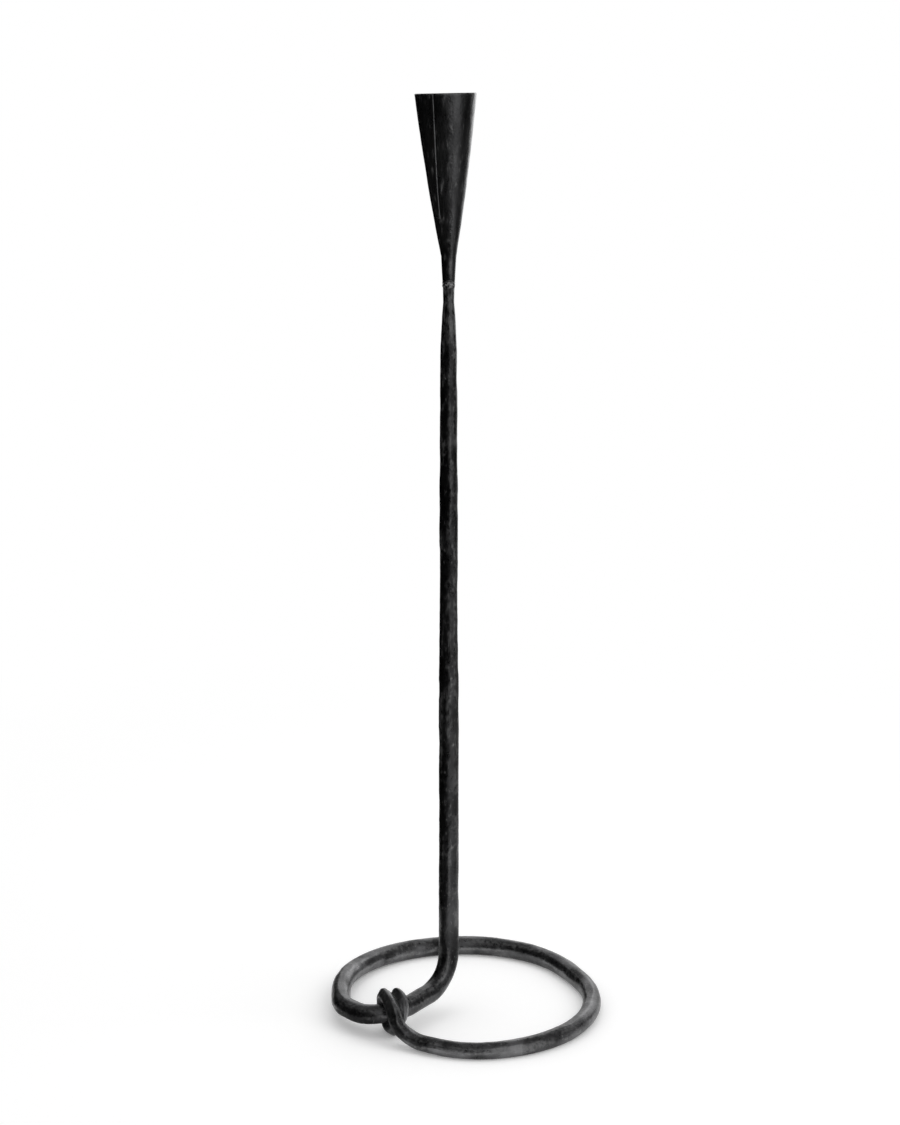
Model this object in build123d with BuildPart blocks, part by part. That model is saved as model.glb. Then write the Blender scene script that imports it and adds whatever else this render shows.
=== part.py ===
from build123d import *
import math
import os

# Driving sizes in millimetres.
# The origin is on the floor, under the middle of the foot. +Z is up and -Y faces the viewer.
BAR_RADIUS = 5.5            # the 12 mm bar after hammering
STEM_X = -9.8               # where the upright stands in plan
STEM_Y = -4.0
HEEL_BEND = 20.5            # radius of the bend at the foot of the upright
HEEL_HEADING = 232.0        # direction in plan in which the heel leaves the upright
RUN_HEIGHT = 13.3           # middle of the bar above the floor where the heel ends
KNOT_CENTRE = Vector(-41.1, -40.7, 12.8)    # middle of the bar inside the wrap
KNOT_HEADING = 212.0        # direction of the bar inside the wrap, from the heel to the ring
KNOT_FALL = 3.0             # how steeply it falls there, in degrees
SCARF_ANGLE = 45.0          # how far the forge welds lean across the bar
RING_RADIUS = 72.5          # middle of the bar from the middle of the ring, on average
RING_CENTRE = Vector(0, -1, 0)

WELD_FOOT = 411.2           # height of the lower edge of the dressed weld
SHANK_LIP = 414.6           # height of the lower edge of the socket's tube
NECK_HEIGHT = 403.5         # thinnest place of the stem
NECK_RADIUS = 2.85
SHOULDER_RADIUS = 3.05      # stem just under the weld
TANG_RADIUS = 2.4           # part of the stem that is inside the socket
TANG_TOP = 436.0
BORE_MOUTH_RADIUS = 2.6     # where the bore for the tang opens into the cone
WELD_BULGE = 3.3            # greatest radius of the weld

CONE_FOOT = 428.0           # height where the tube opens into the cone
CONE_LENGTH = 84.7          # along the cone's own axis
CONE_LEAN = 1.1             # the cone leans to the left by this many degrees
RIM_RADIUS = 16.35          # outside of the mouth
SHEET = 1.5                 # thickness of the rolled sheet
CONE_SWELL = 0.75           # how far the cone's side bows out from a straight line
SHANK_LIP_RADIUS = 3.15
SHANK_TOP_RADIUS = 3.9
SHANK_OVERLAP = 0.3         # the tube runs this far up into the leaning cone
LAP_STEP = 0.6              # how far the outer edge of the lap stands proud
LAP_FOOT = 20.4             # the lap ends at this height above the foot of the cone
LAP_SEAM = 241.0            # plan angle of the seam
LAP_WIDTH = 62.0            # angle that the lap covers, from the seam round to the left


def heading(angle, climb=0.0):
    """Unit direction with a plan angle and a climb, both in degrees."""
    level = math.cos(math.radians(climb))
    return Vector(
        math.cos(math.radians(angle)) * level,
        math.sin(math.radians(angle)) * level,
        math.sin(math.radians(climb)),
    )


def on_ring(angle, outward, height):
    """Point of the foot at a plan angle, so far outside the ring's average radius."""
    return RING_CENTRE + heading(angle) * (RING_RADIUS + outward) + Vector(0, 0, height)


def around_knot(turn, along, out):
    """Point beside the bar inside the wrap: 0 degrees is its front, 90 its top, 180 its back."""
    bar_way = heading(KNOT_HEADING, -KNOT_FALL)
    front = heading(KNOT_HEADING + 90)
    top = front.cross(bar_way) * -1
    side = front * math.cos(math.radians(turn)) + top * math.sin(math.radians(turn))
    return KNOT_CENTRE + bar_way * along + side * out


def way_at(before, here, after):
    """Direction at the middle one of three points, on the circle through them."""
    back = here - before
    ahead = after - here
    return (back / back.length**2 + ahead / ahead.length**2).normalized()


def knee_of(start, start_way, end, end_way):
    """Where two arcs meet that leave start and reach end in the given directions."""
    chord = end - start
    lean = chord.dot(start_way + end_way)
    spread = 2 * (1 - start_way.dot(end_way))
    reach = chord.dot(chord) / (math.sqrt(lean**2 + spread * chord.dot(chord)) + lean)
    return (start + end + (start_way - end_way) * reach) / 2


def arcs_through(points, first_way, last_way):
    """Pairs of tangent arcs, one pair from each point to the next."""
    middle_ways = [way_at(*points[i - 1:i + 2]) for i in range(1, len(points) - 1)]
    ways = [first_way, *middle_ways, last_way]
    pairs = []
    for start, start_way, end, end_way in zip(points, ways, points[1:], ways[1:]):
        knee = knee_of(start, start_way, end, end_way)
        first = Edge.make_tangent_arc(start, start_way, knee)
        pairs.append((first, Edge.make_tangent_arc(knee, first % 1, end)))
    return pairs


def forged_span(arcs, near, far):
    """Round bar along two tangent arcs, whose radius changes evenly from near to far."""
    middle = (near + far) / 2
    with BuildPart() as span:
        for arc, start_radius, end_radius in zip(arcs, (near, middle), (middle, far)):
            with BuildSketch(Plane(origin=arc @ 0, z_dir=arc % 0)) as start_face:
                Circle(start_radius)
            with BuildSketch(Plane(origin=arc @ 1, z_dir=arc % 1)) as end_face:
                Circle(end_radius)
            sweep(sections=[start_face.sketch, end_face.sketch], path=arc, multisection=True)
    return span.part


def samples_of(arcs, near, far, steps=12):
    """Points along two tangent arcs, each with the bar's radius and the length it stands for."""
    middle = (near + far) / 2
    points = []
    for arc, start_radius, end_radius in zip(arcs, (near, middle), (middle, far)):
        for step in range(steps):
            place = (step + 0.5) / steps
            radius = start_radius + (end_radius - start_radius) * place
            points.append((arc @ place, radius, arc.length / steps))
    return points


def least_gap(points):
    """Least space between two turns of a bar, from its samples in order."""
    gap = math.inf
    for first, (here, radius, step) in enumerate(points):
        walked = 0.0
        for there, other_radius, other_step in points[first + 1:]:
            walked += other_step
            if walked > 4 * radius:
                gap = min(gap, (there - here).length - radius - other_radius)
    return gap


def side_plane(base, axis_way, angle):
    """Plane that holds an axis: its x runs outward at a plan angle, and its y along the axis."""
    outward = heading(angle)
    outward = (outward - axis_way * outward.dot(axis_way)).normalized()
    return Plane(origin=base, x_dir=outward, z_dir=outward.cross(axis_way))


# Path of the bar on the floor, as plan angle, distance outside the average radius, height of
# its middle and radius. The hammering leaves it a little uneven, with a flat spot at 27 degrees.
ring_stations = [
    (181.8, -0.7, 8.4, 5.4),
    (159, 0.2, 6.9, 5.45),
    (139, 0.9, 5.7, 5.5),
    (104, 0.3, 5.05, 5.55),
    (70, -0.3, 5.0, 5.5),
    (45, -1.2, 4.9, 5.4),
    (27, -2.6, 4.85, 5.35),
    (3, -0.7, 4.7, 5.2),
    (-34, 1.5, 4.5, 5.0),
    (-64, 0.7, 4.25, 4.75),
]
tail_stations = [
    (-87, -0.9, 4.05, 4.5),
    (-104, -3.2, 4.6, 4.35),
    (-116, -4.7, 6.2, 4.2),
]
# The tail round the bar, as turn about the bar, place along it, distance of its middle from the
# bar's middle, and radius. It comes up in front, and goes under itself a turn later.
wrap_stations = [
    (0, 5.9, 15.0, 4.1),
    (32, 5.9, 12.7, 4.0),
    (75, 4.3, 10.3, 3.8),
    (125, 2.0, 10.0, 3.6),
    (180, 0.5, 9.5, 3.45),
    (235, 0.9, 9.6, 3.4),
    (285, 2.0, 9.9, 3.35),
    (330, 1.6, 9.6, 3.2),
    (375, -1.5, 9.15, 3.15),
    (410, -3.4, 9.0, 3.1),
    (450, -4.7, 8.9, 3.0),
    (500, -5.8, 8.7, 2.8),
    (545, -6.8, 8.9, 2.5),
]
# The upright, as height and radius. It is drawn thin towards the neck.
stem_sides = [
    (60.0, 5.5),
    (130.0, 5.35),
    (185.0, 5.4),
    (246.0, 4.75),
    (279.0, 5.0),
    (330.0, 4.55),
    (367.0, 4.2),
    (383.0, 3.95),
    (396.0, 3.3),
]

heel_top = Vector(STEM_X, STEM_Y, RUN_HEIGHT + HEEL_BEND)
heel_end = Vector(STEM_X, STEM_Y, RUN_HEIGHT) + heading(HEEL_HEADING) * HEEL_BEND
left_of_knot = Vector(-52.6, -42.9, 11.9)
left_corner = Vector(-66.7, -30.6, 10.2)

bar_points = [heel_end, KNOT_CENTRE, left_of_knot, left_corner]
knot = bar_points.index(KNOT_CENTRE)
ring_end = len(bar_points) + len(ring_stations) - 1
bar_radii = [BAR_RADIUS, 5.45, 5.4, 5.4]
for angle, outward, height, radius in ring_stations + tail_stations:
    bar_points.append(on_ring(angle, outward, height))
    bar_radii.append(radius)
for turn, along, out, radius in wrap_stations:
    bar_points.append(around_knot(turn, along, out))
    bar_radii.append(radius)
tip_way = (bar_points[-1] - bar_points[-2]).normalized()
bar_arcs = arcs_through(bar_points, heading(HEEL_HEADING), tip_way)
spans = [
    forged_span(arcs, near, far) for arcs, near, far in zip(bar_arcs, bar_radii, bar_radii[1:])
]

# The bar is parted at the middle of the knot and where the ring begins to be drawn down
knot_scarf = Plane(origin=KNOT_CENTRE, z_dir=heading(KNOT_HEADING - SCARF_ANGLE))
tail_scarf = Plane(
    origin=bar_points[ring_end], z_dir=heading(ring_stations[-1][0] - 90 - SCARF_ANGLE)
)
floor = Plane.XY

# Stem: tang, neck, upright, heel and the level run to the weld inside the wrap
heel_arc = Edge.make_tangent_arc(heel_top, Vector(0, 0, -1), heel_end)
with BuildPart() as heel:
    with BuildSketch(Plane(origin=heel_top, z_dir=heel_arc % 0)):
        Circle(BAR_RADIUS)
    sweep(path=heel_arc)
stem_plane = side_plane(Vector(STEM_X, STEM_Y, 0), Vector(0, 0, 1), 0)
stem_axis = Axis(stem_plane.origin, Vector(0, 0, 1))
with BuildPart() as stem:
    add(spans[knot - 1])
    add(spans[knot])
    split(bisect_by=knot_scarf, keep=Keep.BOTTOM)
    add(heel.part)
    with BuildSketch(stem_plane):
        with BuildLine():
            upright = Spline(
                (BAR_RADIUS, heel_top.Z),
                *[(radius, height) for height, radius in stem_sides],
                (NECK_RADIUS, NECK_HEIGHT),
                tangents=[(0, 1), (0, 1)],
            )
            shoulder = TangentArc(
                (NECK_RADIUS, NECK_HEIGHT), (SHOULDER_RADIUS, WELD_FOOT), tangent=(0, 1)
            )
            Polyline(
                shoulder @ 1,
                (TANG_RADIUS, WELD_FOOT),
                (TANG_RADIUS, TANG_TOP),
                (0, TANG_TOP + TANG_RADIUS),
                (0, heel_top.Z),
                upright @ 0,
            )
        make_face()
    revolve(axis=stem_axis)

# Ring: from the weld inside the wrap, round the left, the back and the right to the front
with BuildPart() as ring_root:
    add(spans[knot - 1])
    add(spans[knot])
    split(bisect_by=knot_scarf, keep=Keep.TOP)
with BuildPart() as ring_tip:
    add(spans[ring_end - 1])
    add(spans[ring_end])
    split(bisect_by=tail_scarf, keep=Keep.BOTTOM)
with BuildPart() as foot_ring:
    add(ring_root.part)
    for span in spans[knot + 1:ring_end - 1]:
        add(span)
    add(ring_tip.part)
    split(bisect_by=floor, keep=Keep.TOP)

# Wrap: the drawn-down end of the ring, wound about one turn and three quarters round the bar
with BuildPart() as knot_wrap:
    add(spans[ring_end - 1])
    add(spans[ring_end])
    split(bisect_by=tail_scarf, keep=Keep.TOP)
    for span in spans[ring_end + 1:]:
        add(span)
    split(bisect_by=floor, keep=Keep.TOP)

wrap_samples = []
for arcs, near, far in list(zip(bar_arcs, bar_radii, bar_radii[1:]))[ring_end:]:
    wrap_samples += samples_of(arcs, near, far)
drawn_volume = sum(math.pi * radius**2 * length for _, radius, length in wrap_samples)
print("least gap of the wrap to itself", round(least_gap(wrap_samples), 2), "mm")
print("volume of the wrap", round(knot_wrap.part.volume), "from sections", round(drawn_volume))

# Weld: the bead that closes the lower edge of the socket's tube on the stem
with BuildPart() as socket_weld:
    with BuildSketch(stem_plane):
        with BuildLine():
            bulge = ThreePointArc(
                (SHOULDER_RADIUS, WELD_FOOT),
                (WELD_BULGE, (WELD_FOOT + SHANK_LIP) / 2),
                (SHANK_LIP_RADIUS, SHANK_LIP),
            )
            Polyline(
                bulge @ 1,
                (TANG_RADIUS, SHANK_LIP),
                (TANG_RADIUS, WELD_FOOT),
                bulge @ 0,
            )
        make_face()
    revolve(axis=stem_axis)


def cone_face(plane, thicker, foot_radius, rim_radius):
    """Half section of a cone with a bowed side, thickened outward all along."""
    middle_radius = (foot_radius + rim_radius) / 2 + CONE_SWELL
    with BuildSketch(plane) as face:
        with BuildLine():
            side = ThreePointArc(
                (foot_radius + thicker, 0),
                (middle_radius + thicker, CONE_LENGTH / 2),
                (rim_radius + thicker, CONE_LENGTH),
            )
            Polyline(side @ 1, (0, CONE_LENGTH), (0, 0), side @ 0)
        make_face()
    return face.sketch


# Socket: sheet rolled into a cone, with the lap on its left and a tube at its foot
cone_base = Vector(STEM_X, STEM_Y, CONE_FOOT)
cone_way = heading(180, 90 - CONE_LEAN)
cone_axis = Axis(cone_base, cone_way)
cone_plane = side_plane(cone_base, cone_way, 0)
lap_plane = side_plane(cone_base, cone_way, LAP_SEAM)
lap_foot_plane = Plane(origin=cone_base + cone_way * LAP_FOOT, z_dir=cone_way)
with BuildPart() as lap:
    add(cone_face(lap_plane, LAP_STEP, SHANK_TOP_RADIUS, RIM_RADIUS))
    revolve(axis=cone_axis, revolution_arc=-LAP_WIDTH)
    split(bisect_by=lap_foot_plane, keep=Keep.TOP)
with BuildPart() as candle_socket:
    add(cone_face(cone_plane, 0, SHANK_TOP_RADIUS, RIM_RADIUS))
    revolve(axis=cone_axis)
    add(lap.part)
    with BuildSketch(stem_plane):
        Polygon(
            (0, SHANK_LIP),
            (SHANK_LIP_RADIUS, SHANK_LIP),
            (SHANK_TOP_RADIUS, CONE_FOOT + SHANK_OVERLAP),
            (0, CONE_FOOT + SHANK_OVERLAP),
            align=None,
        )
    revolve(axis=stem_axis)
    add(cone_face(cone_plane, 0, BORE_MOUTH_RADIUS, RIM_RADIUS - SHEET))
    revolve(axis=cone_axis, mode=Mode.SUBTRACT)
    with BuildSketch(stem_plane):
        Polygon(
            (0, SHANK_LIP),
            (TANG_RADIUS, SHANK_LIP),
            (TANG_RADIUS, CONE_FOOT + TANG_RADIUS),
            (0, CONE_FOOT + TANG_RADIUS),
            align=None,
        )
    revolve(axis=stem_axis, mode=Mode.SUBTRACT)

stem.part.label = "stem"
foot_ring.part.label = "foot_ring"
knot_wrap.part.label = "knot_wrap"
socket_weld.part.label = "socket_weld"
candle_socket.part.label = "candle_socket"

os.makedirs("parts", exist_ok=True)
export_step(stem.part, "parts/stem.step")
export_step(foot_ring.part, "parts/foot_ring.step")
export_step(knot_wrap.part, "parts/knot_wrap.step")
export_step(socket_weld.part, "parts/socket_weld.step")
export_step(candle_socket.part, "parts/candle_socket.step")
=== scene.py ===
import math
import random

import bmesh
import bpy
from bpy.props import FloatProperty, FloatVectorProperty, IntProperty, PointerProperty
from mathutils import Matrix, Vector, noise


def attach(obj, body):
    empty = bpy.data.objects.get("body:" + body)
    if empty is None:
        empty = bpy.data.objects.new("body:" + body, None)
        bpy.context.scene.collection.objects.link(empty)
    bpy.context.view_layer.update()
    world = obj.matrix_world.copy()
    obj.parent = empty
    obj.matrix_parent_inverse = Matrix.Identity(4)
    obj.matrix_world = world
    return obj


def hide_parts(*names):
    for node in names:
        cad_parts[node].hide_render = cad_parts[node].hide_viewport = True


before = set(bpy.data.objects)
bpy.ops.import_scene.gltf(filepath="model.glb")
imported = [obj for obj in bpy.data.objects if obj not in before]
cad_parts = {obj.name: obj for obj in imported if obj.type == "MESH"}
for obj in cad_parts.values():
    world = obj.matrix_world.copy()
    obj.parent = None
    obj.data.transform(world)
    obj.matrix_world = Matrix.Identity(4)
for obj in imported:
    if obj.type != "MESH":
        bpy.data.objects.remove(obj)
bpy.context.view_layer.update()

bl_info = {
    "name": "Wrought iron candlestick",
    "version": (1, 0, 0),
    "blender": (4, 5, 0),
    "location": "View3D > Sidebar > Candlestick",
    "description": "Builds a forged candlestick: hammered bar, wrapped ring foot and rolled socket",
    "category": "Object",
}

MM = 0.001
UP = Vector((0, 0, 1))

# The bar's path in millimetres, with the origin on the floor under the middle of the foot
STEM_AXIS = Vector((-9.8, -4.0, 0))
BAR_RADIUS = 5.5
HEEL_BEND = 20.5
HEEL_HEADING = 232.0
RUN_HEIGHT = 13.3
KNOT_CENTRE = Vector((-41.1, -40.7, 12.8))
KNOT_HEADING = 212.0
KNOT_FALL = 3.0
SCARF_ANGLE = 45.0
RING_RADIUS = 72.5
RING_CENTRE = Vector((0, -1, 0))
LEFT_OF_KNOT = Vector((-52.6, -42.9, 11.9))
LEFT_CORNER = Vector((-66.7, -30.6, 10.2))

# Plan angle, distance outside the average radius, height of the bar's middle, radius
RING_STATIONS = (
    (181.8, -0.7, 8.4, 5.4),
    (159, 0.2, 6.9, 5.45),
    (139, 0.9, 5.7, 5.5),
    (104, 0.3, 5.05, 5.55),
    (70, -0.3, 5.0, 5.5),
    (45, -1.2, 4.9, 5.4),
    (27, -2.6, 4.85, 5.35),
    (3, -0.7, 4.7, 5.2),
    (-34, 1.5, 4.5, 5.0),
    (-64, 0.7, 4.25, 4.75),
)
TAIL_STATIONS = (
    (-87, -0.9, 4.05, 4.5),
    (-104, -3.2, 4.6, 4.35),
    (-116, -4.7, 6.2, 4.2),
)
# Turn about the bar, place along it, distance from its middle, radius
WRAP_STATIONS = (
    (0, 5.9, 15.0, 4.1),
    (32, 5.9, 12.7, 4.0),
    (75, 4.3, 10.3, 3.8),
    (125, 2.0, 10.0, 3.6),
    (180, 0.5, 9.5, 3.45),
    (235, 0.9, 9.6, 3.4),
    (285, 2.0, 9.9, 3.35),
    (330, 1.6, 9.6, 3.2),
    (375, -1.5, 9.15, 3.15),
    (410, -3.4, 9.0, 3.1),
    (450, -4.7, 8.9, 3.0),
    (500, -5.8, 8.7, 2.8),
    (545, -6.8, 8.9, 2.5),
)
# Height and radius of the upright, from the tip of the tang down to the heel
TANG_SIDES = ((438.4, 0.5), (436.0, 2.4), (411.2, 2.4), (411.2, 3.05), (403.5, 2.85))
STEM_SIDES = (
    (403.5, 2.85),
    (396.0, 3.45),
    (383.0, 4.2),
    (367.0, 4.4),
    (330.0, 4.7),
    (279.0, 5.0),
    (246.0, 4.75),
    (185.0, 5.4),
    (130.0, 5.35),
    (60.0, 5.5),
    (33.8, 5.5),
)

# The path's points where the bar is parted or changes, counted from the end of the heel
KNOT_MARK = 1
LEFT_CORNER_MARK = 3
TAIL_MARK = LEFT_CORNER_MARK + len(RING_STATIONS)
WRAP_MARK = TAIL_MARK + len(TAIL_STATIONS) + 1
WRAP_SPACING = 0.7          # the wrap's stations lie this much closer than the others

# The forged section, as shares of the bar's radius
FORGED_FROM = (46, 70)      # the bar grows from round to forged between these lengths
WRAP_FROM = (14, 8)         # and from eight flats to four this far before and after the wrap's start
FLATS = 8
FLAT_TURN = 22              # angles in degrees: where the first flat faces, and how flats wander
FLAT_WANDER = 7
STRAND_WANDER = 5
FLAT_FACE = 1.025           # where the flats lie before the hammer deepens them
FLAT_EDGE = 1.04            # how far the edges between them stand out
STRAND_FACE = 1.0           # where the wrap's four faces lie before they are squared
STRAND_EDGE = 1.095
ROUND_FACE = 1.12           # far enough out to leave the rest of the bar alone
BLEND = 0.012               # how softly flats and edges run into each other
WIDEST_FACE = 0.35          # cosine of the angle past which a flat no longer counts

# Hammer dents: where they begin below the tang's tip, and ranges for the strength, the reach
# along the bar and the step to the next one
FIRST_DENT = 44.0
DENT_STRENGTH = (0.25, 1.0)
DENT_REACH = (3.0, 8.0)
DENT_STEP = (1.2, 3.6)
GRAIN_FROM = (38, 60)
# Height, size and shift of the two layers of fine unevenness
GRAIN = ((0.075, 2.6, Vector((0, 0, 0))), (0.045, 1.2, Vector((9, 2, 5))))


def heading(angle, climb=0.0):
    """Unit direction with a plan angle and a climb, both in degrees."""
    level = math.cos(math.radians(climb))
    return Vector((
        math.cos(math.radians(angle)) * level,
        math.sin(math.radians(angle)) * level,
        math.sin(math.radians(climb)),
    ))


def on_ring(angle, outward, height):
    return RING_CENTRE + heading(angle) * (RING_RADIUS + outward) + UP * height


def around_knot(turn, along, out):
    """Point beside the bar inside the wrap: 0 degrees is its front, 90 its top."""
    bar_way = heading(KNOT_HEADING, -KNOT_FALL)
    front = heading(KNOT_HEADING + 90)
    top = bar_way.cross(front)
    side = front * math.cos(math.radians(turn)) + top * math.sin(math.radians(turn))
    return KNOT_CENTRE + bar_way * along + side * out


def way_at(before, here, after):
    """Direction at the middle one of three points, on the circle through them."""
    back = here - before
    ahead = after - here
    return (back / back.length_squared + ahead / ahead.length_squared).normalized()


def knee_of(start, start_way, end, end_way):
    """Where two arcs meet that leave start and reach end in the given directions."""
    chord = end - start
    lean = chord.dot(start_way + end_way)
    spread = 2 * (1 - start_way.dot(end_way))
    reach = chord.length_squared / (math.sqrt(lean**2 + spread * chord.length_squared) + lean)
    return (start + end + (start_way - end_way) * reach) / 2


class Station:
    """A place along the bar: its middle, its direction, a side direction, length so far, radius."""

    def __init__(self, middle, way, side, walked, radius):
        self.middle = middle
        self.way = way
        self.side = side
        self.walked = walked
        self.radius = radius

    def matrix(self):
        """Turns the flat circle of the section into this place, in metres."""
        third = self.way.cross(self.side)
        turned = Matrix((self.side, third, self.way)).transposed().to_4x4()
        return Matrix.Translation(self.middle * MM) @ turned


def follow_arc(stations, end, end_radius, spacing):
    """Adds stations along the arc that leaves the last station and reaches the end."""
    start = stations[-1]
    chord = end - start.middle
    bend = chord - start.way * chord.dot(start.way)
    if bend.length < 1e-6:
        bend = start.side * 1e-6
    inward = bend.normalized()
    angle = 2 * math.atan2(chord.dot(inward), chord.dot(start.way))
    bend_radius = chord.length / (2 * math.sin(angle / 2))
    pivot = start.middle + inward * bend_radius
    axis = start.way.cross(inward)
    length = bend_radius * angle
    steps = max(2, math.ceil(length / spacing))
    for step in range(1, steps + 1):
        share = step / steps
        turn = Matrix.Rotation(angle * share, 3, axis)
        stations.append(Station(
            pivot + turn @ (start.middle - pivot),
            (turn @ start.way).normalized(),
            (turn @ start.side).normalized(),
            start.walked + length * share,
            start.radius + (end_radius - start.radius) * share,
        ))


def smooth_between(table, height):
    """Radius at a height on the smooth curve through a table of heights and radii."""
    for index in range(len(table) - 1):
        (high, high_radius), (low, low_radius) = table[index], table[index + 1]
        if low <= height <= high:
            before = table[max(0, index - 1)]
            after = table[min(len(table) - 1, index + 2)]
            span = high - low
            start_slope = (low_radius - before[1]) / (before[0] - low) * span
            end_slope = (after[1] - high_radius) / (high - after[0]) * span
            t = (high - height) / span
            return (
                high_radius * (2 * t**3 - 3 * t**2 + 1)
                + start_slope * (t**3 - 2 * t**2 + t)
                + low_radius * (3 * t**2 - 2 * t**3)
                + end_slope * (t**3 - t**2)
            )
    return table[-1][1]


def bar_stations(spacing):
    """Stations of the whole bar, from the tang's tip to the wrap's, and how far along each point is."""
    top = TANG_SIDES[0][0]
    stations = []
    for height, radius in TANG_SIDES:
        middle = STEM_AXIS + UP * height
        stations.append(Station(middle, -UP, heading(0), top - height, radius))
    low = STEM_SIDES[-1][0]
    high = STEM_SIDES[0][0]
    steps = math.ceil((high - low) / spacing)
    for step in range(1, steps + 1):
        height = high + (low - high) * step / steps
        radius = smooth_between(STEM_SIDES, height)
        stations.append(Station(
            STEM_AXIS + UP * height, -UP, heading(0), top - height, radius
        ))
    heel_end = STEM_AXIS + UP * RUN_HEIGHT + heading(HEEL_HEADING) * HEEL_BEND
    follow_arc(stations, heel_end, BAR_RADIUS, spacing)

    points = [heel_end, KNOT_CENTRE, LEFT_OF_KNOT, LEFT_CORNER]
    radii = [BAR_RADIUS, 5.45, 5.4, 5.4]
    for angle, outward, height, radius in RING_STATIONS + TAIL_STATIONS:
        points.append(on_ring(angle, outward, height))
        radii.append(radius)
    for turn, along, out, radius in WRAP_STATIONS:
        points.append(around_knot(turn, along, out))
        radii.append(radius)
    ways = [heading(HEEL_HEADING)]
    for index in range(1, len(points) - 1):
        ways.append(way_at(*points[index - 1:index + 2]))
    ways.append((points[-1] - points[-2]).normalized())
    marks = {}
    for index in range(len(points) - 1):
        close = spacing if index < WRAP_MARK - 1 else spacing * WRAP_SPACING
        knee = knee_of(points[index], ways[index], points[index + 1], ways[index + 1])
        follow_arc(stations, knee, (radii[index] + radii[index + 1]) / 2, close)
        follow_arc(stations, points[index + 1], radii[index + 1], close)
        marks[index + 1] = stations[-1].walked
    return stations, marks


NECK_HIGHLIGHT_HEIGHT = 391.0       # middle of the band on the neck that is painted lighter, a painted highlight
NECK_HIGHLIGHT_REACH = 9.0
# How strongly these places are made lighter: the neck, the front of the ring, the seam, the lap's foot
# and the rim get painted highlights, the facet edges rubbed wear
NECK_HIGHLIGHT = 0.35
FRONT_HIGHLIGHT = 0.28
FACET_WEAR = 0.45
SEAM_HIGHLIGHT = 0.36
LAP_FOOT_HIGHLIGHT = 0.4
RIM_HIGHLIGHT = 0.5
NICK_REACH = 0.9
TIP_LENGTH = 0.8            # length of the wrap's rounded tip, as a share of the bar's radius
TIP_FLAT = 0.12             # how wide its end stays, as a share of the section
SCARF_REACH = 14.0          # how far a scarf's cut can reach along the bar
SCARF_SPARE = 9.0           # length that a piece is made longer before it is cut at a scarf
# Nicks that show bright: height, plan angle and distance from the axis
STEM_NICKS = (
    (300.0, 305, 4.9), (262.0, 280, 4.9), (246.0, 292, 4.8), (196.0, 283, 5.4), (192.5, 288, 5.4),
    (189.0, 283, 5.4), (186.0, 276, 5.4), (158.0, 300, 5.4), (131.0, 280, 5.4), (97.0, 290, 5.4),
)
CONE_NICKS = (
    (480.5, 277, 11.6), (478.5, 281, 11.4), (477.5, 274, 11.3), (436.5, 275, 5.5),
    (432.0, 282, 4.8), (424.0, 288, 4.2), (420.5, 283, 3.9),
)


def smoothstep(low, high, value):
    """0 at low and 1 at high, also where high is the smaller of the two."""
    t = min(1.0, max(0.0, (value - low) / (high - low)))
    return t * t * (3 - 2 * t)


def wave(seed, value):
    """Smooth random curve between about -1 and 1."""
    return 2 * noise.noise(Vector((value, seed * 7.31, seed * 3.17)))


class Hammering:
    """The forged section of the bar: long flats all round, dents, and square in the wrap."""

    def __init__(self, marks, settings):
        self.marks = marks
        self.flat = settings.flat_depth
        self.square = settings.strand_squareness
        self.dents = []
        chance = random.Random(settings.seed)
        walked = FIRST_DENT
        end = marks[len(marks)]
        while walked < end:
            self.dents.append((
                walked,
                chance.uniform(0, 2 * math.pi),
                chance.uniform(*DENT_STRENGTH) * settings.dent_depth,
                chance.uniform(*DENT_REACH),
            ))
            walked += chance.uniform(*DENT_STEP)

    def radii(self, station, angles, outward):
        """Distance of the surface from the middle at each angle round one station."""
        s = station.walked
        base = station.radius
        forged = smoothstep(*FORGED_FROM, s)
        wrap_start = self.marks[WRAP_MARK]
        wrap = smoothstep(wrap_start - WRAP_FROM[0], wrap_start + WRAP_FROM[1], s)
        softness = BLEND * base
        flats = []
        for k in range(FLATS):
            turn = math.radians(360 / FLATS * k + FLAT_TURN + FLAT_WANDER * wave(k, s / 45))
            hammered = self.flat * forged * (1 - wrap) * (0.55 + 0.45 * wave(k + 20, s / 14))
            flats.append((turn, base * (1 - hammered) * FLAT_FACE))
        for k in range(4):
            wander = STRAND_WANDER * wave(k + 40, s / 12)
            turn = outward + math.radians(45 + 90 * k + wander)
            face = ROUND_FACE - (ROUND_FACE - STRAND_FACE + self.square) * wrap
            flats.append((turn, base * face))
        for place, turn, deep, reach in self.dents:
            if abs(place - s) < 1.5 * reach:
                crown = (s - place) ** 2 / reach**2
                flats.append((turn, base - deep * (1 - crown)))
        corner = base * (FLAT_EDGE + (STRAND_EDGE - FLAT_EDGE) * wrap)
        result = []
        for angle in angles:
            values = [corner]
            for turn, limit in flats:
                cosine = math.cos(angle - turn)
                if cosine > WIDEST_FACE:
                    values.append(limit / cosine)
            lowest = min(values)
            total = sum(math.exp((lowest - v) / softness) for v in values)
            result.append(lowest - softness * math.log(total))
        return result


def grain(point, station):
    """Fine unevenness of the scaled surface, in millimetres."""
    layers = sum(height * noise.noise(point / size + shift) for height, size, shift in GRAIN)
    return layers * smoothstep(*GRAIN_FROM, station.walked)


def nick_places(nicks):
    """Middles of the nicks, in the part's own millimetres."""
    return [STEM_AXIS + heading(angle) * away + UP * height for height, angle, away in nicks]


def nicked(place, nicks):
    """1 in the middle of a nick, fading out within two millimetres."""
    nearest = min((place - nick).length for nick in nicks)
    return math.exp(-(nearest / NICK_REACH) ** 2)


def outward_angle(station):
    """Angle round the section that points straight away from the bar inside the wrap."""
    axis = heading(KNOT_HEADING, -KNOT_FALL)
    away = station.middle - KNOT_CENTRE
    away -= axis * away.dot(axis)
    third = station.way.cross(station.side)
    return math.atan2(away.dot(third), away.dot(station.side))


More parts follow.
